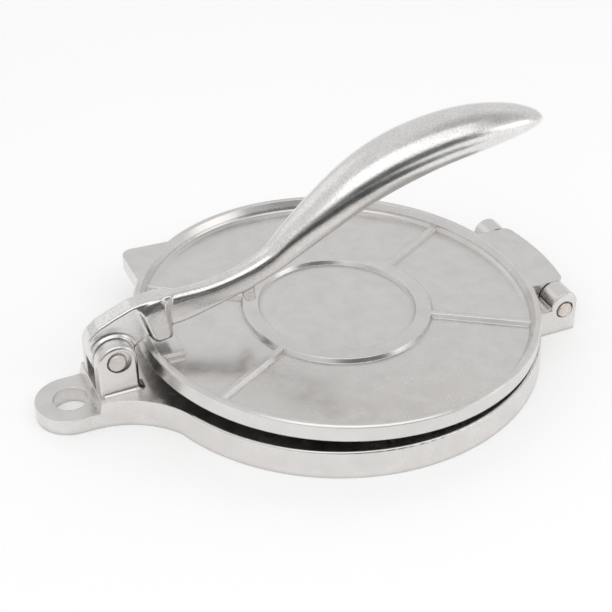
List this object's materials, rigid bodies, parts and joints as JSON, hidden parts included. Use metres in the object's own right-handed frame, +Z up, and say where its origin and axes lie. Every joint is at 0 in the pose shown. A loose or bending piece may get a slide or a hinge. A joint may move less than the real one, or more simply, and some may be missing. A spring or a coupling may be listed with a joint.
{
  "type": "tortilla press",
  "caption": "Cast hand press with a round base and hinged ribbed plate, closed by a pivoted lever with a rounded grip; tongue with a hanging hole.",
  "frame": {"origin": "on the table, midway along the press between the tongue's end and the hinge lug's back edge, on the centre line", "axes": "+X runs from the hanging tongue to the plate hinge, +Z is up from the table, +Y is the side with the lifting tab"},
  "size_m": [0.2661, 0.2, 0.1139],
  "materials": {
    "cast_aluminium": "satin, tumbled casting",
    "polished_aluminium": "tumbled and part polished",
    "pin_steel": "plain turned steel"
  },
  "bodies": {
    "base": {"base": "cast_aluminium", "lever_pin": "pin_steel", "hinge_pin": "pin_steel"},
    "upper_plate": {"upper_plate": "cast_aluminium"},
    "lever": {"lever": "polished_aluminium"}
  },
  "joints": [
    {"name": "lever_pivot", "type": "hinge", "parent": "base", "child": "lever", "pos_m": [-0.09628, 0, 0.0302], "axis": [0, -1, 0], "range_deg": [-14, 140]},
    {"name": "plate_hinge", "type": "hinge", "parent": "base", "child": "upper_plate", "pos_m": [0.12472, 0, 0.0126], "axis": [0, 1, 0], "range_deg": [-1.4, 14]}
  ],
  "couplings": [
    {"joint": "plate_hinge", "follows": "lever_pivot", "ratio": 0.1}
  ]
}
